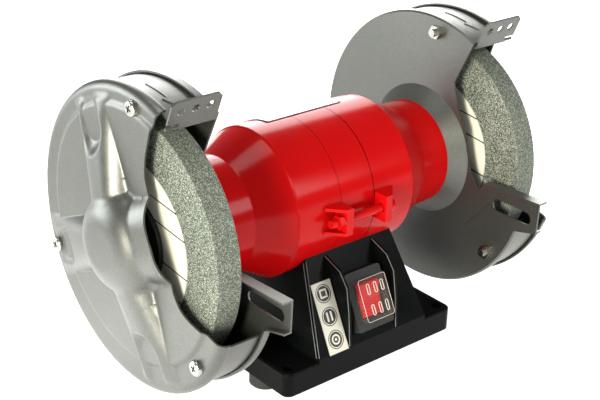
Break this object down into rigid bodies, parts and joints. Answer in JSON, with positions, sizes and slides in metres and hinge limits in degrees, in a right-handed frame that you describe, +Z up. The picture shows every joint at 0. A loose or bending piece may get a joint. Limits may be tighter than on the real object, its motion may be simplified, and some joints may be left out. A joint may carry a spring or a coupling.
{
  "type": "bench grinder",
  "caption": "Double-ended bench grinder with a red motor body, silver wheel guards, grey grinding wheels and a black base with a covered rocker switch.",
  "frame": {"origin": "on the bench plane, at the underside of the rubber feet, straight below the middle of the spindle", "axes": "+X along the spindle to the operator's right, -Y towards the operator, +Z up"},
  "size_m": [0.3, 0.1948, 0.2004],
  "materials": {
    "base_plastic": "gloss black",
    "foot_rubber": "matte",
    "zinc_steel": "zinc plated",
    "plate_steel": "plain",
    "motor_red": "gloss red enamel",
    "guard_silver": "satin silver grey",
    "switch_black": "satin",
    "rocker_red": "gloss",
    "clear_plastic": "clear",
    "label_cream": "printed film",
    "label_dark": "printed film",
    "stone_grey": "grit",
    "blotter_cream": "printed paper",
    "copper": "enamelled copper",
    "lamination": "stacked sheet",
    "cage_aluminium": "cast",
    "shaft_steel": "ground",
    "bearing_steel": "polished",
    "flange_steel": "dark oxide",
    "bush_plastic": "satin",
    "grey_plastic": "satin"
  },
  "bodies": {
    "frame": {"base_housing": "base_plastic", "bottom_plate": "plate_steel", "rubber_feet": "foot_rubber", "foot_screws": "zinc_steel", "switch_bezel": "base_plastic", "switch_body": "switch_black", "switch_cover": "clear_plastic", "symbol_strip": "label_cream", "cable_gland": "switch_black", "cable_gland_nut": "switch_black", "capacitor": "grey_plastic", "capacitor_clips": "plate_steel", "terminal_block": "grey_plastic", "motor_leads": "switch_black", "lead_grommet": "foot_rubber", "saddle_screws": "zinc_steel", "stator_shell": "motor_red", "end_bell_right": "motor_red", "end_bell_left": "motor_red", "stator_core": "lamination", "stator_windings": "copper", "tie_bolts": "motor_red", "tie_nuts": "motor_red", "rating_plate": "label_dark", "bearing_outer_races": "bearing_steel", "bearing_shields": "bearing_steel", "wave_washer": "shaft_steel", "guard_plate_right": "guard_silver", "guard_plate_left": "guard_silver", "guard_band_right": "guard_silver", "guard_band_left": "guard_silver", "guard_cover_right": "guard_silver", "guard_cover_left": "guard_silver", "cover_screws": "zinc_steel", "cover_nuts": "zinc_steel", "plate_screws": "zinc_steel"},
    "rotor": {"shaft": "shaft_steel", "rotor_core": "lamination", "rotor_cage": "cage_aluminium", "bearing_inner_races": "bearing_steel", "bearing_balls": "bearing_steel", "inner_flanges": "flange_steel", "outer_flanges": "flange_steel", "wheel_right": "stone_grey", "wheel_left": "stone_grey", "wheel_bushes": "bush_plastic", "blotters": "blotter_cream", "spindle_nut_right": "zinc_steel", "spindle_nut_left": "zinc_steel"},
    "rocker": {"rocker": "rocker_red"}
  },
  "joints": [
    {"name": "spindle_spin", "type": "hinge", "parent": "frame", "child": "rotor", "pos_m": [0, 0, 0.104], "axis": [1, 0, 0], "continuous": true},
    {"name": "rocker_press", "type": "hinge", "parent": "frame", "child": "rocker", "pos_m": [0, -0.05884, 0.04961], "axis": [-1, 0, 0], "range_deg": [0, 20]}
  ]
}
